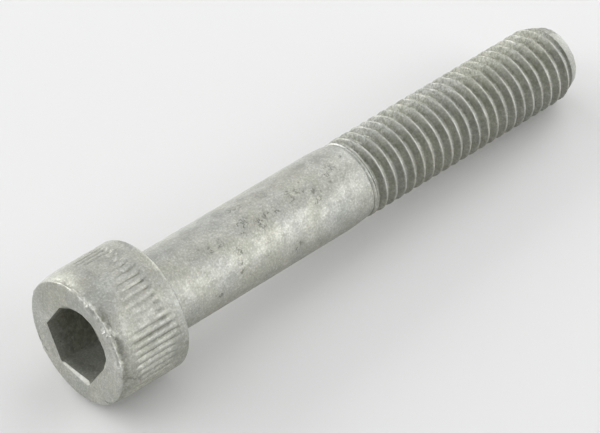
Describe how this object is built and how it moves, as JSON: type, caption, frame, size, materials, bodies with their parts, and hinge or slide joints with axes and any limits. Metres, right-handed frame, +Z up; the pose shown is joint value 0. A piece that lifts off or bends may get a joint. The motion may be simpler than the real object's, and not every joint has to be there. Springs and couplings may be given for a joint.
{
  "type": "socket head cap screw",
  "caption": "Steel cap screw with a knurled cylindrical head, a hexagon socket, a plain shank and a partly threaded end, with a dull zinc coating, lying on its side.",
  "frame": {"origin": "on the surface that the screw lies on, under the middle of its box", "axes": "+X from the head towards the point, level; +Z up; the screw's own axis dips 2.9 degrees towards the point, because the head is wider than the thread"},
  "size_m": [0.0752, 0.016, 0.0163],
  "materials": {
    "zinc_coated_steel": "dull zinc coating, matte"
  },
  "bodies": {
    "root": {"cap_screw": "zinc_coated_steel"}
  },
  "joints": []
}
